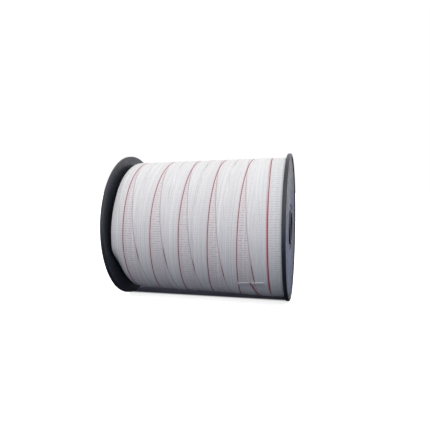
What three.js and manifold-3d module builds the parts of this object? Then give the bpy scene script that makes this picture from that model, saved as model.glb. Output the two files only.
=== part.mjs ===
// Electric fence tape on its spool: two moulded flanges on a core tube, with a roll of
// woven tape wound on it. The spool lies on its two rims, with its axis along X.
// Units are millimetres and +Z is up. The origin is the middle of the footprint.

import * as THREE from 'three';
import { mergeVertices } from 'three/addons/utils/BufferGeometryUtils.js';
import Module from 'manifold-3d';

// Tape
const tapeWidth = 40;
const tapeThickness = 0.8;
const turnCount = 6;
const seamWidth = 2;
const seamDepth = 1.2;
const turnEdgeRound = 0.5;
const rollRadiusLeft = 103.6;
const rollRadiusRight = 108.6;
const endStepCount = 4;
const endStepDepth = 0.8;

// Loose end of the tape, at angles counted up from the front of the roll
const tailEndAngle = THREE.MathUtils.degToRad(-44.5);
const tailRootAngle = THREE.MathUtils.degToRad(-128);
const tailEndX = 84;
const tailRooting = 1.5;
const tailSteps = 14;
const tailMergeSteps = 3;

// Flanges
const flangeRadius = 115;
const flangeThickness = 5.75;
const webThickness = 4.2;
const lipWidth = 5;
const rimRound = 1.6;
const rimRoundSteps = 2;
const boreRadius = 23;
const boreChamfer = 1;
const hubFaceWidth = 3;
const seatDepth = 1.4;

// Core tube
const coreRadius = 50;
const coreWall = 3;

// Clearance between pieces that touch, and the bare strip left of the roll
const fitGap = 0.3;
const bareStrip = 8.2;

// Facets round the axis
const flangeSides = 64;
const rollSides = 48;
const coreSides = 48;

// Sizes that follow from those above
const rollLength = turnCount * tapeWidth + (turnCount - 1) * seamWidth;
const flangeSpacing = bareStrip + rollLength + fitGap;
const rollRight = flangeSpacing / 2 - fitGap;
const rollLeft = rollRight - rollLength;
const turnPitch = tapeWidth + seamWidth;
const rollBore = coreRadius + fitGap;
const coreBore = coreRadius - coreWall;
const hubRadius = boreRadius + boreChamfer + hubFaceWidth;
const axisHeight = flangeRadius * Math.cos(Math.PI / flangeSides);

// Colours and finish
const spoolPlastic = { color: 0x3b3c43, roughness: 0.5, metalness: 0 };
const wovenTape = { color: 0xd9dadc, roughness: 0.75, metalness: 0 };

const wasm = await Module();
wasm.setup();

// Points of a corner arc, given as radius and place along the axis.
function cornerArc(radius, along, round, startAngle, steps) {
  const points = [];
  for (let step = 0; step <= steps; step += 1) {
    const angle = startAngle + (Math.PI / 2) * (step / steps);
    points.push([radius + round * Math.cos(angle), along + round * Math.sin(angle)]);
  }
  return points;
}

// Turns a closed outline of [radius, along] points about the axis. A flat side faces down.
function turned(outline, sides) {
  const points = outline.map(([radius, along]) => new THREE.Vector2(radius, along));
  points.push(points[0].clone());
  return new THREE.LatheGeometry(points, sides, Math.PI / sides, Math.PI * 2);
}

// One mesh on the spool's axis, with its own material.
function onAxis(name, geometry, finish) {
  const mesh = new THREE.Mesh(geometry, new THREE.MeshStandardMaterial(finish));
  mesh.name = name;
  mesh.rotation.z = -Math.PI / 2;
  return mesh;
}

// A flange's outline, with its inner face at 0 and its outer side towards positive values.
// The core tube stands in a ring-shaped seat in the inner face.
function flangeOutline() {
  const seatInside = coreBore - fitGap;
  const seatOutside = coreRadius + fitGap;
  const rimMiddle = flangeRadius - rimRound;
  return [
    [boreRadius, 0],
    [seatInside, 0],
    [seatInside, seatDepth],
    [seatOutside, seatDepth],
    [seatOutside, 0],
    ...cornerArc(rimMiddle, rimRound, rimRound, -Math.PI / 2, rimRoundSteps),
    ...cornerArc(rimMiddle, flangeThickness - rimRound, rimRound, 0, rimRoundSteps),
    [flangeRadius - lipWidth, flangeThickness],
    [flangeRadius - lipWidth, webThickness],
    [hubRadius, webThickness],
    [hubRadius, flangeThickness],
    [boreRadius + boreChamfer, flangeThickness],
    [boreRadius, flangeThickness - boreChamfer],
  ];
}

// One flange. The side is 1 for the right one and -1 for the left one.
function makeFlange(name, side) {
  const outline = flangeOutline().map(([radius, outward]) => {
    return [radius, side * (flangeSpacing / 2 + outward)];
  });
  if (side < 0) {
    outline.reverse();
  }
  return onAxis(name, turned(outline, flangeSides), spoolPlastic);
}

// The tube that joins the flanges and carries the roll, from seat to seat.
function makeCoreTube() {
  const halfLength = flangeSpacing / 2 + seatDepth - fitGap;
  const outline = [
    [coreBore, -halfLength],
    [coreRadius, -halfLength],
    [coreRadius, halfLength],
    [coreBore, halfLength],
  ];
  return onAxis('core_tube', turned(outline, coreSides), spoolPlastic);
}

// Radius of the roll's surface, which grows evenly from left to right.
function rollRadius(along) {
  const share = (along - rollLeft) / rollLength;
  return rollRadiusLeft + (rollRadiusRight - rollRadiusLeft) * share;
}

// Steps on one end of the roll, where the edges of its layers show, from bore to outside.
function endSteps(along, side) {
  const points = [];
  const outerRadius = rollRadius(along) - turnEdgeRound;
  const stepHeight = (outerRadius - rollBore) / endStepCount;
  for (let step = 0; step < endStepCount; step += 1) {
    const radius = rollBore + stepHeight * step;
    points.push([radius, along]);
    points.push([radius + stepHeight, along - side * endStepDepth]);
  }
  points.push([outerRadius, along]);
  return points;
}

// The roll's outline: stepped ends, and turns side by side with a seam between them.
function rollOutline() {
  const turns = [];
  for (let turn = 0; turn < turnCount; turn += 1) {
    const left = rollLeft + turn * turnPitch;
    const right = left + tapeWidth;
    if (turn > 0) {
      turns.push([rollRadius(left) - seamDepth, left]);
      turns.push([rollRadius(left) - turnEdgeRound, left]);
    }
    turns.push([rollRadius(left), left + turnEdgeRound]);
    turns.push([rollRadius(right), right - turnEdgeRound]);
    if (turn < turnCount - 1) {
      turns.push([rollRadius(right) - turnEdgeRound, right]);
      turns.push([rollRadius(right) - seamDepth, right]);
    }
  }
  return [...endSteps(rollLeft, -1), ...turns, ...endSteps(rollRight, 1).reverse()];
}

// The loose end: a strip that leaves the last turn and lies over the seam beside it.
function tailGeometry() {
  const outerRadius = rollRadiusRight + tapeThickness;
  const innerRadius = rollRadius(tailEndX - tapeWidth / 2) - seamDepth - tailRooting;
  const sweep = tailRootAngle - tailEndAngle;
  const outside = [];
  const inside = [];
  for (let step = 0; step <= tailSteps; step += 1) {
    const angle = tailEndAngle + sweep * (step / tailSteps);
    const merged = Math.max(0, 1 - (tailSteps - step) / tailMergeSteps);
    const radius = outerRadius - tapeThickness * merged;
    outside.push(new THREE.Vector2(radius * Math.cos(angle), radius * Math.sin(angle)));
    inside.push(new THREE.Vector2(innerRadius * Math.cos(angle), innerRadius * Math.sin(angle)));
  }
  const outline = new THREE.Shape([...outside, ...inside.reverse()]);
  const strip = new THREE.ExtrudeGeometry(outline, { depth: tapeWidth, bevelEnabled: false });
  return slantedStrip(strip, sweep);
}

// Turns the strip to the spool's axis and slides each part of it along the axis, from the
// loose end's place to the last turn's.
function slantedStrip(strip, sweep) {
  const lastTurnRight = rollRight;
  const looseEndRight = tailEndX + tapeWidth / 2;
  const places = strip.getAttribute('position');
  for (let index = 0; index < places.count; index += 1) {
    const front = places.getX(index);
    const up = places.getY(index);
    const across = places.getZ(index);
    const share = (Math.atan2(up, front) - tailEndAngle) / sweep;
    const right = looseEndRight + (lastTurnRight - looseEndRight) * share;
    places.setXYZ(index, front, right - across, up);
  }
  return strip;
}

// A closed geometry as a solid that can be joined.
function asSolid(geometry) {
  const bare = geometry.clone();
  bare.deleteAttribute('normal');
  bare.deleteAttribute('uv');
  const merged = mergeVertices(bare);
  const vertProperties = new Float32Array(merged.getAttribute('position').array);
  const triVerts = new Uint32Array(merged.getIndex().array);
  return new wasm.Manifold(new wasm.Mesh({ numProp: 3, vertProperties, triVerts }));
}

// A joined solid as a geometry.
function asGeometry(solid) {
  const mesh = solid.getMesh();
  const geometry = new THREE.BufferGeometry();
  geometry.setAttribute('position', new THREE.BufferAttribute(mesh.vertProperties, 3));
  geometry.setIndex(new THREE.BufferAttribute(mesh.triVerts, 1));
  geometry.computeVertexNormals();
  return geometry;
}

// The wound tape, with its bore on the core tube and its loose end in one piece with it.
function makeTapeRoll() {
  const wound = asSolid(turned(rollOutline(), rollSides));
  const tail = asSolid(tailGeometry());
  return onAxis('tape_roll', asGeometry(wound.add(tail)), wovenTape);
}

const spool = new THREE.Group();
spool.position.z = axisHeight;
spool.add(makeFlange('flange_left', -1));
spool.add(makeFlange('flange_right', 1));
spool.add(makeCoreTube());
spool.add(makeTapeRoll());

export default spool;
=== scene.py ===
# Electric fence tape on its spool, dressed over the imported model.
# Lengths are in millimetres unless said otherwise, at the real thing's size as estimated
# from the photo, and are turned into metres when a mesh is made. Angles round the spool are
# counted up from the front, which faces -Y. The named values give them in degrees or turns.

import math

import bpy
import numpy as np
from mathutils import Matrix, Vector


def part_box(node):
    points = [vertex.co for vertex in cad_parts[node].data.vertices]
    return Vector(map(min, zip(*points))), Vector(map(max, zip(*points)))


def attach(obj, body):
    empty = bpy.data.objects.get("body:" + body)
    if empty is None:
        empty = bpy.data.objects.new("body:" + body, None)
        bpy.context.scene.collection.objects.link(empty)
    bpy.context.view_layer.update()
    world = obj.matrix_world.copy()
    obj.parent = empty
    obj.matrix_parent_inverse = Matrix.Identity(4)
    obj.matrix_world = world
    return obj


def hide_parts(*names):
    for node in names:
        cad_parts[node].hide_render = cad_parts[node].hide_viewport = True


MM = 0.001

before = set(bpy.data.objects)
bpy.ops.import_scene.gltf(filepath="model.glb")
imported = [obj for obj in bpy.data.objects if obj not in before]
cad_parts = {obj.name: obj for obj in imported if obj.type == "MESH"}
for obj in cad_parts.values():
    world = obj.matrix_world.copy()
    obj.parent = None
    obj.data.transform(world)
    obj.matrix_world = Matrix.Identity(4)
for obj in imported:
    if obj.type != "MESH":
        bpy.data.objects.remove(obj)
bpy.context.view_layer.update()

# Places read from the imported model. The boxes and AXIS_HEIGHT are in metres.
LEFT_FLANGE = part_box("flange_left")
RIGHT_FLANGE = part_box("flange_right")
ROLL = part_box("tape_roll")
AXIS_HEIGHT = LEFT_FLANGE[1][2] / 2
FLANGE_RADIUS = AXIS_HEIGHT / MM
LEFT_INNER = LEFT_FLANGE[1][0] / MM
RIGHT_INNER = RIGHT_FLANGE[0][0] / MM
FLANGE_THICKNESS = RIGHT_FLANGE[1][0] / MM - RIGHT_INNER

# Flange sizes as in the solids, but for the eased edges and the sunk ring round the hub
WEB_THICKNESS = 4.2
LIP_WIDTH = 5.0
RIM_ROUND = 1.6
EDGE_ROUND = 0.6
BORE_RADIUS = 23.0
BORE_CHAMFER = 1.0
HUB_FACE_WIDTH = 3.0
HUB_RADIUS = BORE_RADIUS + BORE_CHAMFER + HUB_FACE_WIDTH
SINK_RADIUS = 36.0
SINK_DEPTH = 1.0
SEAT_INSIDE = 46.7
SEAT_OUTSIDE = 50.3
SEAT_DEPTH = 1.4
BORE_EDGE = 0.4
RIM_STEPS = 7
EASE_STEPS = 4
CHAMFER_STEPS = 5
FLANGE_SHARP = 50.0

# Tape and roll
TAPE_WIDTH = 40.0
TAPE_RISE = 0.48
TAPE_BODY = 0.45
ROLL_BORE = 50.3
ROLL_LEFT = ROLL[0][0] / MM
ROLL_RIGHT = ROLL[1][0] / MM
ROLL_RADIUS_LEFT = 103.6
ROLL_RADIUS_RIGHT = 108.6
LEFT_MARGIN = 1.2
RIGHT_MARGIN = 0.4
COVER_FULL = 0.8
COVER_NONE = 2.4
PASSES_BACK = range(-7, 13)
STRIP_SHARP = 35.0

# Cords along the tape, and the rise and fall of its edges
CORD_PITCH = 3.3
CORD_RELIEF = 0.16
CORD_POWER = 0.7
EDGE_START = 1.2
EDGE_CREST = 0.3
EDGE_LIFT = 0.22
EDGE_ROLL = 0.35

# Unevenness of the tape: how large it is, and the turns from one random value to the next
SWAY = 0.25
SWAY_SPACING = 0.07
FLUTTER = 0.22
FLUTTER_SPACING = 0.026
WAVES = 0.12
WAVES_SPACING = 0.038
WAVES_MIDDLE = 0.4

# The loose end. TAIL_FOLD, TAIL_RISEN, TAIL_NOSE and each reach are distances left to it.
TAIL_FOLD = 12.0
TAIL_RISEN = 2.0
TAIL_LIFT = 1.4
TAIL_NOSE = 1.2
TAIL_EDGE = 0.5
TAIL_GAP = 1.1
TAIL_GAP_REACH = (7.0, 1.0)
TAIL_SKEW = 2.0
TAIL_SKEW_REACH = 40.0
TAIL_BULGE = 0.12
TAIL_BULGE_TURN = 2.5
TAIL_BULGE_START = 1.0
# Reach of the painted shade that dims the loose end's nose
NOSE_SHADE_REACH = (2.4, 1.4)
FOLD_ROWS = 15
NOSE_ROWS = 7

# Sag over the roll's left edge: where it starts, how deep it is, and its share by angle
SHOULDER_START = -108.0
SHOULDER_DROP = 7.0
SHOULDER_LIMIT = 1.4
SHOULDER_CURVE = 1.8
LOW_SAG_BOTTOM = (-100.0, -52.0)
LOW_SAG_TOP = (-14.0, -40.0)
HIGH_SAG_BOTTOM = (-5.0, 30.0)
HIGH_SAG_TOP = (100.0, 60.0)
HIGH_SAG_SHARE = 0.35
ROUND_SAG_SHARE = 0.1

# Body of the roll: its stacked tape edges, and how they stray round the spool, as size,
# waves in a turn and shift by radius
BODY_CLEARANCE = 0.4
BODY_OVERLAP = 0.05
LAYER_HOLLOWS = (0.5, 1.5)
LAYER_CRESTS = (0.0, 0.7)
SIDE_INSET = 0.6
SIDE_COLUMNS = 9
STRAY_WAVES = ((0.35, 3, 0.9), (0.2, 7, -2.3))
RIGHT_STRAY = 0.2
SAGGING_RADII = (70.0, 102.0)
BODY_SHARP = 80.0

# The tape's pattern: where its parts lie and how wide they are
TRACER_OFFSET = -0.2
TRACER_HALF = 0.66
TRACER_SOFT = 0.22
DASH_PITCH = 1.8
BLUSH_HALF = 2.4
BLUSH_SOFT = 2.2
UNDER_LINE_HALF = 0.6
UNDER_LINE_SOFT = 0.6
LINE_FADE = 0.12
LINES_BACK = range(-1, 14)
FAR_AWAY = 99.0
BESIDE_SHIFT = 0.7
BESIDE_HALF = 1.5
BESIDE_SOFT = 0.5
DOUBLED_LOSS = 0.85
DOUBLED_ANGLES = (12.0, 42.0)
AT_FLANGE_TURNS = (4.55, 4.7)
OPEN_BESIDE_LINE = (1.2, -0.8)
OPEN_RIGHT_HALF = (-0.6, 1.2)
WARP_PITCH = 0.83
WEFT_PITCH = 3.6
FINE_WEFT_PITCH = 0.9
WIRE_SHIFT = 1.9

# Noise on the tape, per millimetre, and how far it is drawn out along the tape
STREAK_SCALE = 1.3
STREAK_STRETCH = 0.02
BAND_SCALE = 0.55
BAND_STRETCH = 0.006
BLOTCH_SCALE = 0.07
PATCH_SCALE = 0.3
RED_SCALE = 0.5

# Noise on the roll's ends, the deeper layers and the plastic, per metre
EDGE_GRAIN = 900.0
EDGE_BLOTCHES = 60.0
DEEP_GRAIN = 1100.0
DEEP_BLOTCHES = 90.0
PLASTIC_GRAIN = 1400.0
PLASTIC_BLOTCHES = 14.0
PLASTIC_SCUFFS = 160.0

# Depths of the bumps and pitch of the plastic's turning rings, in metres
WEAVE_BUMP = 0.00012
EDGE_BUMP = 0.0004
DEEP_BUMP = 0.0002
PLASTIC_BUMP = 0.00008
RING_PITCH = 0.0011

# How finely the pieces are divided, and the seeds of their random curves
FLANGE_SPOKES = 224
BODY_SPOKES = 128
PLATE_SPOKES = 64
TOP_STEPS = 132
TOP_COLUMNS = 49
TOP_SEED = 21
UNDER_STEPS = 90
UNDER_COLUMNS = 25
UNDER_SEED = 11
LEFT_LAYERS = 30
LEFT_SEED = 5
RIGHT_LAYERS = 12
RIGHT_SEED = 6

# Colours of the tape
THREAD_DULL = (0.72, 0.715, 0.72, 1)
THREAD_WHITE = (0.89, 0.88, 0.88, 1)
BLOTCH_GREY = (0.76, 0.77, 0.78, 1)
BAND_DARK = (0.62, 0.63, 0.65, 1)
BAND_PALE = (0.96, 0.96, 0.96, 1)
# Painted shade in the weft hollows
RUNG_SHADE = (0.30, 0.28, 0.30, 1)
# Painted shade in the gaps between the cords and on the loose end's nose
SHADE_GREY = (0.42, 0.42, 0.44, 1)
WIRE_GREY = (0.25, 0.25, 0.26, 1)
ZONE_PINK = (0.76, 0.52, 0.53, 1)
# Painted shade over the last turns beside the right flange
FLANGE_SHADE = (0.74, 0.77, 0.78, 1)
UNDER_LINE_RED = (0.26, 0.12, 0.15, 1)
DOUBLED_RED = (0.58, 0.09, 0.15, 1)
BLUSH_RED = (0.82, 0.40, 0.43, 1)
TRACER_DARK = (0.11, 0.032, 0.046, 1)
TRACER_RED = (0.24, 0.07, 0.09, 1)
EDGE_DARK = (0.52, 0.52, 0.54, 1)
EDGE_PALE = (0.74, 0.74, 0.75, 1)
EDGE_HOLLOW = (0.34, 0.33, 0.35, 1)
DEEP_DARK = (0.70, 0.71, 0.73, 1)
DEEP_PALE = (0.88, 0.88, 0.89, 1)

# Colours of the plastic
PLASTIC_DARK = (0.016, 0.018, 0.026, 1)
PLASTIC_PALE = (0.025, 0.028, 0.039, 1)
# Paler wear on the rim that is partly a painted highlight
PLASTIC_WEAR_HIGHLIGHT = (0.04, 0.04, 0.05, 1)

# The tape's route: turns wound so far, place of the tape's middle along the axis, and how
# fast that place moves in a turn. The under layer runs to the left and the top one to the
# right, and the last stretch is the loose end, which turns back to the left.
UNDER_ROUTE = [
    (-6.5, 108.8, 0.0),
    (-6.0, 109.0, -12.0),
    (-5.0, 82.5, -54.0),
    (-4.0, 39.4, -54.0),
    (-3.0, -2.4, -54.0),
    (-2.0, -43.6, -54.0),
    (-1.0, -86.5, -62.0),
    (-0.7, -105.2, -36.0),
    (-0.55, -107.4, -4.0),
]
TOP_ROUTE = [
    (-0.55, -107.4, -4.0),
    (-0.25, -107.4, 0.0),
    (-0.1, -105.6, 24.0),
    (0.0, -103.0, 26.0),
    (0.16, -100.3, 20.0),
    (0.5, -84.0, 52.0),
    (1.0, -59.9, 31.0),
    (2.0, -16.4, 31.0),
    (3.0, 26.1, 31.0),
    (4.0, 68.8, 31.0),
    (4.6, 98.0, 48.0),
    (4.86, 109.4, 14.0),
    (5.0, 110.3, 0.0),
    (5.12, 109.6, -12.0),
    (5.3, 104.0, -30.0),
    (5.6, 98.0, -30.0),
    (5.8804, 83.0, -126.0),
]


def route_place(route, turns):
    """Place along the axis of the tape's middle, by smooth steps between the route's points."""
    knots = np.array(route)
    step = np.clip(np.searchsorted(knots[:, 0], turns, side="right") - 1, 0, len(knots) - 2)
    start, end = knots[step], knots[step + 1]
    span = end[:, 0] - start[:, 0]
    t = (turns - start[:, 0]) / span
    leave = (2 * t**3 - 3 * t**2 + 1) * start[:, 1] + (t**3 - 2 * t**2 + t) * span * start[:, 2]
    arrive = (3 * t**2 - 2 * t**3) * end[:, 1] + (t**3 - t**2) * span * end[:, 2]
    return leave + arrive


def smooth_step(low, high, value):
    """0 at low, 1 at high, and a smooth change between them, whichever is greater."""
    t = np.clip((value - low) / (high - low), 0, 1)
    return t * t * (3 - 2 * t)


def roll_radius(place):
    """Radius of the finished roll, which grows evenly from left to right."""
    share = (place - ROLL_LEFT) / (ROLL_RIGHT - ROLL_LEFT)
    return ROLL_RADIUS_LEFT + (ROLL_RADIUS_RIGHT - ROLL_RADIUS_LEFT) * share


def shoulder_drop(place, angle):
    """How far the tape sags over the roll's left edge, most of it at the lower front."""
    low_front = smooth_step(*LOW_SAG_BOTTOM, angle) * smooth_step(*LOW_SAG_TOP, angle)
    high_front = HIGH_SAG_SHARE * smooth_step(*HIGH_SAG_BOTTOM, angle)
    high_front = high_front * smooth_step(*HIGH_SAG_TOP, angle)
    share = low_front + high_front + ROUND_SAG_SHARE
    beyond = (SHOULDER_START - place) / (SHOULDER_START - ROLL_LEFT)
    return SHOULDER_DROP * share * np.clip(beyond, 0, SHOULDER_LIMIT) ** SHOULDER_CURVE


def passes(route, turns, place, earlier_only):
    """How far a layer's passes cover a place, from 0 to 1, at the angle that turns gives."""
    first, last = route[0][0], route[-1][0]
    half = TAPE_WIDTH / 2
    cover = np.zeros(np.broadcast(turns, place).shape)
    for back in PASSES_BACK:
        other = turns - back
        known = (other >= first) & (other <= last)
        if earlier_only:
            known = known & (back >= 1)
        middle = route_place(route, np.clip(other, first, last).ravel()).reshape(other.shape)
        near = 1 - smooth_step(half + COVER_FULL, half + COVER_NONE, abs(place - middle))
        cover = cover + near * known
    return np.minimum(cover, 1)


def tracer_distance(turns, place):
    """Signed distance along the axis to the nearest tracer line of the under layer, and how
    plainly that line shows. The line is carried on for a turn before the layer's start, where
    it doesn't show, so that the distance has no jump there."""
    first, last = UNDER_ROUTE[0][0], UNDER_ROUTE[-1][0]
    best = np.full(np.broadcast(turns, place).shape, FAR_AWAY)
    plain = np.zeros(best.shape)
    for back in LINES_BACK:
        other = turns - back
        known = (other >= first - 1) & (other <= last)
        middle = route_place(UNDER_ROUTE, np.clip(other, first, last).ravel()).reshape(other.shape)
        distance = place - middle - TRACER_OFFSET
        nearest = known & (abs(distance) < abs(best))
        best = np.where(nearest, distance, best)
        plain = np.where(nearest, smooth_step(0.0, LINE_FADE, other - first), plain)
    return best, plain


def soft_noise(at, spacing, seed):
    """A smooth random curve between -1 and 1, with a new value every so often."""
    scaled = at / spacing
    low = np.floor(scaled).astype(int)
    values = np.random.default_rng(seed).uniform(-1, 1, low.max() - low.min() + 2)
    first = low.min()
    t = smooth_step(0, 1, scaled - low)
    return values[low - first] * (1 - t) + values[low - first + 1] * t


def round_point(place, radius, angle):
    """Metres in the frame for a place along the axis, a radius and an angle up from the front."""
    return np.stack(
        [
            place * MM,
            -radius * np.cos(angle) * MM,
            AXIS_HEIGHT + radius * np.sin(angle) * MM,
        ],
        -1,
    )


def grid_faces(rows, columns, close_rows=False, close_columns=False, first=0):
    """Quads of a grid of points, in rows, that may close on itself either way."""
    last_row = rows if close_rows else rows - 1
    last_column = columns if close_columns else columns - 1
    row = np.arange(last_row)[:, None]
    column = np.arange(last_column)[None, :]
    here = row * columns + column
    right = row * columns + (column + 1) % columns
    above = ((row + 1) % rows) * columns + column
    corner = ((row + 1) % rows) * columns + (column + 1) % columns
    return np.stack([here, right, corner, above], -1).reshape(-1, 4) + first


def new_object(name, points, faces, sharp_degrees):
    """A smooth-shaded mesh object, sharp where its faces meet at more than that angle."""
    mesh = bpy.data.meshes.new(name)
    mesh.from_pydata(points.tolist(), [], [tuple(face) for face in faces])
    mesh.shade_smooth()
    mesh.set_sharp_from_angle(angle=math.radians(sharp_degrees))
    mesh.update()
    piece = bpy.data.objects.new(name, mesh)
    bpy.context.scene.collection.objects.link(piece)
    return piece


def add_values(piece, name, values):
    """Stores one number for each of the piece's points."""
    attribute = piece.data.attributes.new(name, "FLOAT", "POINT")
    attribute.data.foreach_set("value", np.asarray(values, np.float32).ravel())


def strip_turns(route, steps_per_turn):
    """Places of a strip's rows along its route, close together at its end."""
    first, last = route[0][0], route[-1][0]
    fold = last - TAIL_FOLD / (2 * math.pi * ROLL_RADIUS_RIGHT)
    nose = last - TAIL_NOSE / (2 * math.pi * ROLL_RADIUS_RIGHT)
    even = np.linspace(first, fold, int(round((fold - first) * steps_per_turn)))
    folded = np.linspace(fold, nose, FOLD_ROWS)[1:]
    ending = np.linspace(nose, last, NOSE_ROWS)[1:]
    return np.concatenate([even, folded, ending])


def tape_strip(name, route, steps_per_turn, columns, seed, over_routes):
    """One layer of wound tape: a thin closed strip that lies on what was wound before it.

    over_routes lists the layers that it lies on, each with whether only earlier passes count.
    """
    turns = strip_turns(route, steps_per_turn)[:, None]
    rows = len(turns)
    half = TAPE_WIDTH / 2
    across = np.linspace(-half, half, columns)[None, :]
    outward = across / half
    middle = route_place(route, turns.ravel())[:, None]
    sway = SWAY * soft_noise(turns, SWAY_SPACING, seed)
    flutter = FLUTTER * soft_noise(turns, FLUTTER_SPACING, seed + 1) * outward**3
    room_left = np.minimum(1, (middle - LEFT_INNER - LEFT_MARGIN) / half)
    room_right = np.minimum(1, (ROLL_RIGHT - RIGHT_MARGIN - middle) / half)
    squeezed = across * np.where(across < 0, room_left, room_right)
    place = middle + squeezed + (sway + flutter) * (room_left * room_right == 1)
    cover = sum(passes(other, turns, place, same) for other, same in over_routes)
    cords = CORD_RELIEF * abs(np.cos(math.pi * across / CORD_PITCH)) ** CORD_POWER
    crest = half - EDGE_CREST
    edge = EDGE_LIFT * smooth_step(half - EDGE_START, crest, abs(across))
    edge = edge - EDGE_ROLL * smooth_step(crest, half, abs(across))
    waves = WAVES * soft_noise(turns, WAVES_SPACING, seed + 2) * (WAVES_MIDDLE + outward**2)
    radius = roll_radius(place) - TAPE_RISE * (1 - cover) - CORD_RELIEF + cords + edge + waves
    degrees = (turns * 360 + 180) % 360 - 180
    radius = radius - shoulder_drop(place, degrees)
    underside = radius - TAPE_BODY
    skew = 0 * across
    before_end = (route[-1][0] - turns) * 2 * math.pi * ROLL_RADIUS_RIGHT
    if route is TOP_ROUTE:
        bulge = 1 + TAIL_BULGE * np.sin(TAIL_BULGE_TURN * outward + TAIL_BULGE_START)
        fold = smooth_step(TAIL_FOLD, TAIL_RISEN, before_end) * bulge
        nose = np.clip(1 - before_end / TAIL_NOSE, 0, 1)
        radius = radius + TAIL_LIFT * fold - TAIL_EDGE * (1 - np.sqrt(1 - nose**2))
        underside = underside + TAIL_GAP * smooth_step(*TAIL_GAP_REACH, before_end)
        skew = TAIL_SKEW * outward * smooth_step(TAIL_SKEW_REACH, 0.0, before_end)
    angle = turns * 2 * math.pi + skew / ROLL_RADIUS_RIGHT
    top = round_point(place, radius, angle)
    ends = [0, columns - 1]
    under = round_point(place[:, ends], underside[:, ends], angle[:, ends])
    points = np.concatenate([top, under[:, ::-1]], 1)
    loop = columns + 2
    faces = grid_faces(rows, loop, close_columns=True)
    caps = [list(range(loop))[::-1], [(rows - 1) * loop + k for k in range(loop)]]
    piece = new_object(name, points.reshape(-1, 3), list(faces[:, ::-1]) + caps, STRIP_SHARP)

    def on_all(values):
        """The values on the strip's top and, for its two edges, on its underside as well."""
        values = values + 0 * (across + turns)
        return np.concatenate([values, values[:, ends][:, ::-1]], 1)

    line, plain = tracer_distance(turns, place)
    at_flange = smooth_step(*AT_FLANGE_TURNS, turns)
    open_weave = np.maximum(smooth_step(*OPEN_BESIDE_LINE, line), at_flange)
    open_weave = open_weave * smooth_step(*OPEN_RIGHT_HALF, across)
    doubled = at_flange * (1 - DOUBLED_LOSS * smooth_step(*DOUBLED_ANGLES, degrees))
    add_values(piece, "across", on_all(across))
    add_values(piece, "along", on_all(turns * 2 * math.pi * roll_radius(middle)))
    add_values(piece, "under_line", on_all(line))
    add_values(piece, "line_shows", on_all(plain))
    add_values(piece, "open_weave", on_all(open_weave))
    add_values(piece, "at_flange", on_all(at_flange))
    add_values(piece, "doubled", on_all(doubled))
    add_values(piece, "end_nose", on_all(smooth_step(*NOSE_SHADE_REACH, before_end)))
    return piece


def layer_edges(outer, side, count, seed):
    """Radii and places of the tape edges that show on one end of the roll."""
    draw = np.random.default_rng(seed)
    radii = np.linspace(ROLL_BORE + BODY_CLEARANCE, outer, 2 * count + 1)
    depth = np.zeros(2 * count + 1)
    depth[1::2] = draw.uniform(*LAYER_HOLLOWS, count)
    depth[2:-1:2] = draw.uniform(*LAYER_CRESTS, count - 1)
    return radii, side * depth


def wound_body():
    """The roll below its two outer layers, with the stacked tape edges on its ends."""
    angle = np.linspace(0, 2 * math.pi, BODY_SPOKES, endpoint=False)[:, None]
    below = 2 * TAPE_RISE - BODY_OVERLAP
    left_radii, left_depth = layer_edges(ROLL_RADIUS_LEFT - below, 1, LEFT_LAYERS, LEFT_SEED)
    right_outer = ROLL_RADIUS_RIGHT - below
    right_radii, right_depth = layer_edges(right_outer, -1, RIGHT_LAYERS, RIGHT_SEED)
    left = ROLL_LEFT + left_depth
    right = ROLL_RIGHT + right_depth
    side = np.linspace(ROLL_LEFT + SIDE_INSET, ROLL_RIGHT - SIDE_INSET, SIDE_COLUMNS)
    radii = np.concatenate([left_radii, roll_radius(side) - below, right_radii[::-1]])
    places = np.concatenate([left, side, right[::-1]])
    right_stray = np.full(len(right), RIGHT_STRAY)
    stray = np.concatenate([np.ones(len(left)), np.zeros(len(side)), right_stray])
    wave = sum(size * np.sin(count * angle + radii * shift) for size, count, shift in STRAY_WAVES)
    degrees = (np.degrees(angle) + 180) % 360 - 180
    near_edge = smooth_step(*SAGGING_RADII, radii)
    radius = radii - shoulder_drop(places, degrees) * near_edge
    points = round_point(places + wave * stray, radius, angle + 0 * radii)
    faces = grid_faces(BODY_SPOKES, len(radii), close_rows=True, close_columns=True)
    piece = new_object("wound_core_layers", points.reshape(-1, 3), faces[:, ::-1], BODY_SHARP)
    piece.data.materials.append(edge_material())
    piece.data.materials.append(deep_material())
    columns = len(radii)
    outside = range(len(left) - 1, len(left) + len(side))
    for face in piece.data.polygons:
        if face.index % columns in outside:
            face.material_index = 1
    return piece


def joined(name, pieces):
    """The pieces as one object, whose faces keep their materials."""
    with bpy.context.temp_override(
        active_object=pieces[0], object=pieces[0], selected_editable_objects=pieces
    ):
        bpy.ops.object.join()
    pieces[0].name = name
    return pieces[0]


def arc(radius, place, round_radius, start, end, steps):
    """Points of a rounded corner, as radius and place along the axis."""
    angles = np.radians(np.linspace(start, end, steps))
    return [(radius + round_radius * math.cos(a), place + round_radius * math.sin(a)) for a in angles]


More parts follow.
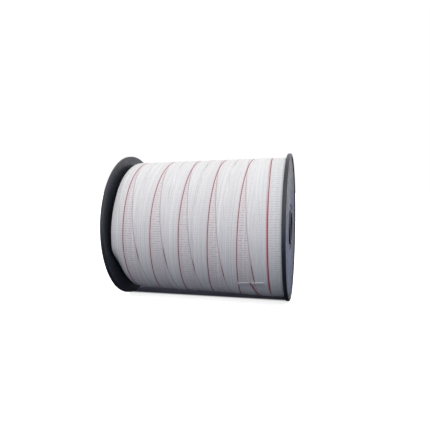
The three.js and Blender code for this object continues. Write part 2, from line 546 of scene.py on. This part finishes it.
def flange_outline():
    """The flange's closed outline, from its inner face at 0 outwards, with eased edges."""
    rim = FLANGE_RADIUS - RIM_ROUND
    top = FLANGE_THICKNESS
    lip = FLANGE_RADIUS - LIP_WIDTH
    ease = EDGE_ROUND
    chamfer = BORE_CHAMFER
    sunk = WEB_THICKNESS - SINK_DEPTH
    return [
        (BORE_RADIUS, BORE_EDGE),
        (BORE_RADIUS + BORE_EDGE, 0.0),
        (SEAT_INSIDE, 0.0),
        (SEAT_INSIDE, SEAT_DEPTH),
        (SEAT_OUTSIDE, SEAT_DEPTH),
        (SEAT_OUTSIDE, 0.0),
        *arc(rim, RIM_ROUND, RIM_ROUND, -90, 0, RIM_STEPS),
        *arc(rim, top - RIM_ROUND, RIM_ROUND, 0, 90, RIM_STEPS),
        *arc(lip + ease, top - ease, ease, 90, 180, EASE_STEPS),
        *arc(lip - ease, WEB_THICKNESS + ease, ease, 0, -90, EASE_STEPS),
        *arc(SINK_RADIUS + ease, WEB_THICKNESS - ease, ease, 90, 180, EASE_STEPS),
        (SINK_RADIUS, sunk),
        *arc(HUB_RADIUS + ease, sunk + ease, ease, -90, -180, EASE_STEPS),
        *arc(HUB_RADIUS - ease, top - ease, ease, 0, 90, EASE_STEPS),
        *arc(BORE_RADIUS + chamfer, top - chamfer, chamfer, 90, 180, CHAMFER_STEPS),
    ]


def make_flange(node, inner, side):
    """One moulded flange, turned finely round the spool's axis."""
    outline = np.array(flange_outline())
    angle = np.linspace(0, 2 * math.pi, FLANGE_SPOKES, endpoint=False)[:, None]
    radius = outline[None, :, 0] + 0 * angle
    place = inner + side * outline[None, :, 1] + 0 * angle
    points = round_point(place, radius, angle + 0 * radius)
    faces = grid_faces(FLANGE_SPOKES, len(outline), close_rows=True, close_columns=True)
    if side < 0:
        faces = faces[:, ::-1]
    piece = new_object(node + "_moulded", points.reshape(-1, 3), faces, FLANGE_SHARP)
    piece.data.materials.append(plastic)
    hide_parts(node)
    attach(piece, "root")


class Nodes:
    """Short calls for building a material's node tree."""

    def __init__(self, name):
        self.material = bpy.data.materials.new(name)
        self.material.use_nodes = True
        self.tree = self.material.node_tree
        self.shader = self.tree.nodes["Principled BSDF"]

    def link(self, source, target):
        if isinstance(source, (int, float, tuple)):
            target.default_value = source
        else:
            self.tree.links.new(source, target)

    def math(self, operation, first, second=None):
        node = self.tree.nodes.new("ShaderNodeMath")
        node.operation = operation
        self.link(first, node.inputs[0])
        if second is not None:
            self.link(second, node.inputs[1])
        return node.outputs[0]

    def value(self, name):
        node = self.tree.nodes.new("ShaderNodeAttribute")
        node.attribute_name = name
        return node.outputs["Fac"]

    def ramp(self, source, low, high, start=0.0, end=1.0):
        node = self.tree.nodes.new("ShaderNodeMapRange")
        node.interpolation_type = "SMOOTHSTEP"
        self.link(source, node.inputs["Value"])
        node.inputs["From Min"].default_value = low
        node.inputs["From Max"].default_value = high
        node.inputs["To Min"].default_value = start
        node.inputs["To Max"].default_value = end
        return node.outputs["Result"]

    def noise(self, place, scale, detail=2.0):
        node = self.tree.nodes.new("ShaderNodeTexNoise")
        self.link(place, node.inputs["Vector"])
        node.inputs["Scale"].default_value = scale
        node.inputs["Detail"].default_value = detail
        return node.outputs["Fac"]

    def vector(self, x, y, z):
        node = self.tree.nodes.new("ShaderNodeCombineXYZ")
        for socket, source in zip(node.inputs, (x, y, z)):
            self.link(source, socket)
        return node.outputs[0]

    def mix(self, share, first, second):
        node = self.tree.nodes.new("ShaderNodeMix")
        node.data_type = "RGBA"
        self.link(share, node.inputs["Factor"])
        self.link(first, node.inputs["A"])
        self.link(second, node.inputs["B"])
        return node.outputs["Result"]

    def bump(self, height, distance, strength):
        node = self.tree.nodes.new("ShaderNodeBump")
        node.inputs["Strength"].default_value = strength
        node.inputs["Distance"].default_value = distance
        self.link(height, node.inputs["Height"])
        return node.outputs["Normal"]

    def place(self):
        return self.tree.nodes.new("ShaderNodeTexCoord").outputs["Object"]

    def split(self, vector):
        node = self.tree.nodes.new("ShaderNodeSeparateXYZ")
        self.link(vector, node.inputs[0])
        return node.outputs


def stripe(nodes, distance, half_width, soft):
    """1 within half_width of a line, falling to 0 over soft."""
    return nodes.ramp(nodes.math("ABSOLUTE", distance), half_width + soft, half_width - soft)


def ripple(nodes, source, pitch):
    """1 on the crests and 0 in the hollows of a ripple with that pitch."""
    cosine = nodes.math("COSINE", nodes.math("MULTIPLY", source, 2 * math.pi / pitch))
    return nodes.math("MULTIPLY", nodes.math("ADD", cosine, 1.0), 0.5)


def tape_material(name, top_layer):
    """White woven tape: warp threads, wefts across them, fine wires and a red tracer, with painted
    shade in the weave's hollows, beside the right flange and on the loose end's nose.
    """
    nodes = Nodes(name)
    across = nodes.value("across")
    along = nodes.value("along")
    zone = nodes.value("open_weave")
    flat = nodes.vector(across, along, 0.0)
    long = nodes.vector(across, nodes.math("MULTIPLY", along, STREAK_STRETCH), 0.0)
    streaks = nodes.noise(long, STREAK_SCALE, 3.0)
    blotches = nodes.noise(flat, BLOTCH_SCALE, 3.0)
    white = nodes.mix(streaks, THREAD_DULL, THREAD_WHITE)
    white = nodes.mix(nodes.ramp(blotches, 0.35, 0.7, 0.0, 0.3), white, BLOTCH_GREY)
    drawn_out = nodes.vector(across, nodes.math("MULTIPLY", along, BAND_STRETCH), 3.0)
    bands = nodes.noise(drawn_out, BAND_SCALE, 2.0)
    white = nodes.mix(nodes.ramp(bands, 0.36, 0.5, 0.3, 0.0), white, BAND_DARK)
    white = nodes.mix(nodes.ramp(bands, 0.56, 0.68, 0.0, 0.5), white, BAND_PALE)

    warp = ripple(nodes, across, WARP_PITCH)
    weft = ripple(nodes, along, WEFT_PITCH)
    fine_weft = ripple(nodes, along, FINE_WEFT_PITCH)
    # Painted shade in the weft hollows, stronger in the open weave, drawn as dark rungs.
    hollow = nodes.ramp(weft, 0.4, 0.0)
    patchy = nodes.ramp(nodes.noise(flat, PATCH_SCALE, 3.0), 0.35, 0.62, 0.25, 1.1)
    strength = nodes.math("MULTIPLY", zone, 0.40 if top_layer else 0.22)
    strength = nodes.math("ADD", strength, 0.13)
    rung_shade = nodes.math("MULTIPLY", nodes.math("MULTIPLY", hollow, strength), patchy)
    colour = nodes.mix(rung_shade, white, RUNG_SHADE)

    # Painted shade in the gaps between the cords, weaker in the open weave.
    gaps = nodes.ramp(ripple(nodes, across, CORD_PITCH), 0.4, 0.0)
    gap_shade = nodes.math("MULTIPLY", gaps, nodes.ramp(streaks, 0.35, 0.7, 0.03, 0.26))
    gap_shade = nodes.math("MULTIPLY", gap_shade, nodes.ramp(zone, 0.0, 1.0, 1.0, 0.35))
    colour = nodes.mix(gap_shade, colour, SHADE_GREY)
    wires = ripple(nodes, nodes.math("ADD", across, WIRE_SHIFT), 2 * CORD_PITCH)
    wire_shade = nodes.math("MULTIPLY", nodes.ramp(wires, 0.982, 0.995), 0.22)
    colour = nodes.mix(wire_shade, colour, WIRE_GREY)

    from_line = nodes.math("SUBTRACT", across, TRACER_OFFSET)
    if top_layer:
        doubled = nodes.value("doubled")
        at_flange = nodes.value("at_flange")
        single = nodes.math("SUBTRACT", 1.0, at_flange)
        pinkish = nodes.math("MULTIPLY", nodes.math("MULTIPLY", zone, single), 0.12)
        colour = nodes.mix(pinkish, colour, ZONE_PINK)
        # Painted shade, cooler and darker, over the last turns beside the right flange.
        colour = nodes.mix(nodes.math("MULTIPLY", at_flange, 0.35), colour, FLANGE_SHADE)
        broken = nodes.ramp(weft, 0.1, 0.7, 0.5, 1.0)
        under = stripe(nodes, nodes.value("under_line"), UNDER_LINE_HALF, UNDER_LINE_SOFT)
        shows = nodes.math("MULTIPLY", under, broken)
        shows = nodes.math("MULTIPLY", shows, nodes.value("line_shows"))
        colour = nodes.mix(nodes.math("MULTIPLY", shows, 0.6), colour, UNDER_LINE_RED)
        shifted = nodes.math("ADD", from_line, BESIDE_SHIFT)
        beside = stripe(nodes, shifted, BESIDE_HALF, BESIDE_SOFT)
        beside = nodes.math("MULTIPLY", beside, nodes.math("MULTIPLY", doubled, 0.75))
        colour = nodes.mix(beside, colour, DOUBLED_RED)
    blush = stripe(nodes, from_line, BLUSH_HALF, BLUSH_SOFT)
    colour = nodes.mix(nodes.math("MULTIPLY", blush, 0.24), colour, BLUSH_RED)
    tracer = stripe(nodes, from_line, TRACER_HALF, TRACER_SOFT)
    dashes = nodes.ramp(ripple(nodes, along, DASH_PITCH), 0.0, 0.5, 0.72, 0.98)
    red = nodes.mix(nodes.noise(flat, RED_SCALE), TRACER_DARK, TRACER_RED)
    colour = nodes.mix(nodes.math("MULTIPLY", tracer, dashes), colour, red)
    if top_layer:
        # Painted shade that dims the lit nose of the loose end.
        nose_shade = nodes.math("MULTIPLY", nodes.value("end_nose"), 0.35)
        colour = nodes.mix(nose_shade, colour, SHADE_GREY)
    nodes.link(colour, nodes.shader.inputs["Base Color"])

    height = nodes.math("ADD", nodes.math("MULTIPLY", warp, 0.5), nodes.math("MULTIPLY", weft, 0.7))
    weave = nodes.math("MULTIPLY", warp, fine_weft)
    height = nodes.math("ADD", height, nodes.math("MULTIPLY", weave, 0.4))
    nodes.link(nodes.bump(height, WEAVE_BUMP, 0.7), nodes.shader.inputs["Normal"])
    rough = nodes.ramp(streaks, 0.3, 0.7, 0.5, 0.68)
    nodes.link(rough, nodes.shader.inputs["Roughness"])
    nodes.shader.inputs["Specular IOR Level"].default_value = 0.35
    return nodes.material


def edge_material():
    """The stacked edges of the tape on the roll's ends."""
    nodes = Nodes("tape_edges")
    place = nodes.place()
    fine = nodes.noise(place, EDGE_GRAIN, 2.0)
    broad = nodes.noise(place, EDGE_BLOTCHES, 2.0)
    colour = nodes.mix(broad, EDGE_DARK, EDGE_PALE)
    colour = nodes.mix(nodes.ramp(fine, 0.5, 0.7, 0.0, 0.4), colour, EDGE_HOLLOW)
    nodes.link(colour, nodes.shader.inputs["Base Color"])
    nodes.link(nodes.bump(fine, EDGE_BUMP, 0.8), nodes.shader.inputs["Normal"])
    nodes.shader.inputs["Roughness"].default_value = 0.75
    return nodes.material


def deep_material():
    """What shows of the deeper layers through the seams: white tape in shade."""
    nodes = Nodes("tape_deep")
    place = nodes.place()
    broad = nodes.noise(place, DEEP_BLOTCHES, 2.0)
    colour = nodes.mix(broad, DEEP_DARK, DEEP_PALE)
    nodes.link(colour, nodes.shader.inputs["Base Color"])
    grain = nodes.noise(place, DEEP_GRAIN)
    nodes.link(nodes.bump(grain, DEEP_BUMP, 0.6), nodes.shader.inputs["Normal"])
    nodes.shader.inputs["Roughness"].default_value = 0.7
    return nodes.material


def plastic_material():
    """Dark moulded plastic with a slight grain, scuffs and paler wear on the rim, which is partly a
    painted highlight along the rim's edge.
    """
    nodes = Nodes("spool_plastic")
    place = nodes.place()
    grain = nodes.noise(place, PLASTIC_GRAIN, 2.0)
    broad = nodes.noise(place, PLASTIC_BLOTCHES, 3.0)
    scuffs = nodes.noise(place, PLASTIC_SCUFFS, 4.0)
    parts = nodes.split(place)
    height = nodes.math("SUBTRACT", parts[2], AXIS_HEIGHT)
    squares = nodes.math("ADD", nodes.math("POWER", parts[1], 2.0), nodes.math("POWER", height, 2.0))
    radius = nodes.math("SQRT", squares)
    colour = nodes.mix(broad, PLASTIC_DARK, PLASTIC_PALE)
    # Paler scuffed wear round the rim, partly a painted highlight along its edge.
    rim = nodes.ramp(radius, (FLANGE_RADIUS - 2.2) * MM, (FLANGE_RADIUS - 0.3) * MM)
    wear_and_highlight = nodes.math("MULTIPLY", rim, nodes.ramp(scuffs, 0.5, 0.75, 0.0, 0.4))
    colour = nodes.mix(wear_and_highlight, colour, PLASTIC_WEAR_HIGHLIGHT)
    nodes.link(colour, nodes.shader.inputs["Base Color"])
    rings = ripple(nodes, radius, RING_PITCH)
    relief = nodes.math("ADD", nodes.math("MULTIPLY", grain, 0.6), nodes.math("MULTIPLY", rings, 0.15))
    nodes.link(nodes.bump(relief, PLASTIC_BUMP, 0.6), nodes.shader.inputs["Normal"])
    nodes.link(nodes.ramp(scuffs, 0.3, 0.7, 0.33, 0.47), nodes.shader.inputs["Roughness"])
    nodes.shader.inputs["Specular IOR Level"].default_value = 0.5
    return nodes.material


def make_tape():
    """The wound tape as one piece: what lies below, the under layer and the top layer."""
    body = wound_body()
    under = tape_strip(
        "under_layer", UNDER_ROUTE, UNDER_STEPS, UNDER_COLUMNS, UNDER_SEED, [(UNDER_ROUTE, True)]
    )
    under.data.materials.append(tape_material("tape_under", False))
    below_top = [(UNDER_ROUTE, False), (TOP_ROUTE, True)]
    top = tape_strip("top_layer", TOP_ROUTE, TOP_STEPS, TOP_COLUMNS, TOP_SEED, below_top)
    top.data.materials.append(tape_material("tape_top", True))
    piece = joined("wound_tape", [top, under, body])
    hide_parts("tape_roll")
    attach(piece, "root")


def dress_core():
    """The core tube keeps its solid and takes the spool's plastic."""
    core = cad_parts["core_tube"]
    core.data.materials.clear()
    core.data.materials.append(plastic)


# Floor: how far it reaches, where the shade between the flanges is full and where it ends,
# and the flag below it, with half its width and half its length
FLOOR_REACH = 60000.0
SHADE_SIDES = (130.0, 135.0)
SHADE_FRONT = (-2.0, -19.0)
SHADE_BACK = (60.0, 100.0)
SHADE_LEAN = 0.3
FLOOR_GLOW = 0.75
FLAG_X = 165.0
FLAG_Y = 88.0
FLAG_BACK = 16.0
FLAG_DEPTH = 0.3
FLOOR_WHITE = (0.93, 0.93, 0.93, 1)
FLOOR_SHADED = (0.17, 0.172, 0.27, 1)
FLAG_COLOUR = (0.05, 0.05, 0.06, 1)

# Light: white from all of the sky, a bluish glow that fades from the horizon down, and a
# soft sun
SKY_COLOUR = (1.02, 1.01, 1.01, 1)
SKY_START = -0.03
GLOW_DOWN = (0.01, 0.01, 0.015, 1)
GLOW_HORIZON = (0.84, 0.93, 1.30, 1)
GLOW_POWER = 4.0
KEY_ENERGY = 0.45
KEY_SPREAD = 50
KEY_TILT = 40
KEY_TURN = 12

# Camera, as fitted to the photo: place relative to the spool's axis, turn and tilt
CAMERA_PLACE = (179.6, -697.8, 55.1)
CAMERA_TURN = 13.56
CAMERA_TILT = -3.0
FOCAL_PIXELS = 439.1
IMAGE_PIXELS = 430.0
SENSOR = 36.0


def make_camera():
    """The camera at the photograph's viewing angle."""
    data = bpy.data.cameras.new("camera")
    data.sensor_width = SENSOR
    data.lens = SENSOR * FOCAL_PIXELS / IMAGE_PIXELS
    camera = bpy.data.objects.new("camera", data)
    x, y, z = CAMERA_PLACE
    camera.location = (x * MM, y * MM, AXIS_HEIGHT + z * MM)
    camera.rotation_euler = (math.radians(90 + CAMERA_TILT), 0.0, math.radians(CAMERA_TURN))
    bpy.context.scene.collection.objects.link(camera)
    bpy.context.scene.camera = camera


def floor_material():
    """Pale floor that glows, but for the dark shade between the flanges."""
    nodes = Nodes("floor")
    parts = nodes.split(nodes.place())
    behind = nodes.math("MULTIPLY", nodes.math("MAXIMUM", parts[1], 0.0), SHADE_LEAN)
    to_left = nodes.math("SUBTRACT", nodes.math("MULTIPLY", parts[0], -1.0), behind)
    beside = nodes.math("MAXIMUM", parts[0], to_left)
    shade = 1.0
    for place, (full, none) in (
        (beside, SHADE_SIDES),
        (parts[1], SHADE_FRONT),
        (parts[1], SHADE_BACK),
    ):
        shade = nodes.math("MULTIPLY", shade, nodes.ramp(place, none * MM, full * MM))
    colour = nodes.mix(shade, FLOOR_WHITE, FLOOR_SHADED)
    nodes.link(colour, nodes.shader.inputs["Base Color"])
    nodes.shader.inputs["Roughness"].default_value = 0.9
    nodes.shader.inputs["Specular IOR Level"].default_value = 0.1
    nodes.shader.inputs["Emission Color"].default_value = (1, 1, 1, 1)
    glow = nodes.ramp(shade, 1.0, 0.0, 0.0, FLOOR_GLOW)
    nodes.link(glow, nodes.shader.inputs["Emission Strength"])
    return nodes.material


def round_plate(name, half_x, half_y, back, height, material):
    """A flat elliptical plate of the stage, in millimetres."""
    spokes = np.linspace(0, 2 * math.pi, PLATE_SPOKES, endpoint=False)
    around = [half_x * np.cos(spokes), back + half_y * np.sin(spokes), height + 0 * spokes]
    mesh = bpy.data.meshes.new(name)
    mesh.from_pydata((np.stack(around, -1) * MM).tolist(), [], [tuple(range(len(spokes)))])
    mesh.materials.append(material)
    plate = bpy.data.objects.new(name, mesh)
    bpy.context.scene.collection.objects.link(plate)
    return plate


def make_floor():
    """A pale floor that lets the glow from below pass, and a dark flag under it that stops
    that glow right below the spool."""
    floor = round_plate("floor", FLOOR_REACH, FLOOR_REACH, 0.0, 0.0, floor_material())
    floor.visible_diffuse = False
    floor.visible_glossy = False
    dark = Nodes("flag")
    dark.shader.inputs["Base Color"].default_value = FLAG_COLOUR
    dark.shader.inputs["Roughness"].default_value = 0.9
    round_plate("floor_flag", FLAG_X, FLAG_Y, FLAG_BACK, -FLAG_DEPTH, dark.material)


def make_light():
    """White light from all of the sky, a glow from below the horizon and a soft sun."""
    world = bpy.data.worlds.new("surround")
    world.use_nodes = True
    tree = world.node_tree
    back = tree.nodes["Background"]
    place = tree.nodes.new("ShaderNodeTexCoord").outputs["Generated"]
    parts = tree.nodes.new("ShaderNodeSeparateXYZ")
    tree.links.new(place, parts.inputs[0])
    fade = tree.nodes.new("ShaderNodeMapRange")
    fade.inputs["From Min"].default_value = -1.0
    fade.inputs["From Max"].default_value = 0.0
    tree.links.new(parts.outputs[2], fade.inputs["Value"])
    steep = tree.nodes.new("ShaderNodeMath")
    steep.operation = "POWER"
    steep.inputs[1].default_value = GLOW_POWER
    tree.links.new(fade.outputs["Result"], steep.inputs[0])
    glow = tree.nodes.new("ShaderNodeMix")
    glow.data_type = "RGBA"
    glow.inputs["A"].default_value = GLOW_DOWN
    glow.inputs["B"].default_value = GLOW_HORIZON
    tree.links.new(steep.outputs[0], glow.inputs["Factor"])
    above = tree.nodes.new("ShaderNodeMath")
    above.operation = "GREATER_THAN"
    above.inputs[1].default_value = SKY_START
    tree.links.new(parts.outputs[2], above.inputs[0])
    sky = tree.nodes.new("ShaderNodeMix")
    sky.data_type = "RGBA"
    sky.inputs["B"].default_value = SKY_COLOUR
    tree.links.new(above.outputs[0], sky.inputs["Factor"])
    tree.links.new(glow.outputs["Result"], sky.inputs["A"])
    tree.links.new(sky.outputs["Result"], back.inputs["Color"])
    bpy.context.scene.world = world
    key = bpy.data.lights.new("key_light", "SUN")
    key.energy = KEY_ENERGY
    key.angle = math.radians(KEY_SPREAD)
    lamp = bpy.data.objects.new("key_light", key)
    lamp.rotation_euler = (math.radians(KEY_TILT), 0, math.radians(KEY_TURN))
    bpy.context.scene.collection.objects.link(lamp)
    bpy.context.scene.view_settings.view_transform = "Standard"


make_camera()
make_floor()
make_light()
plastic = plastic_material()
make_flange("flange_left", LEFT_INNER, -1)
make_flange("flange_right", RIGHT_INNER, 1)
dress_core()
make_tape()

bpy.context.view_layer.update()
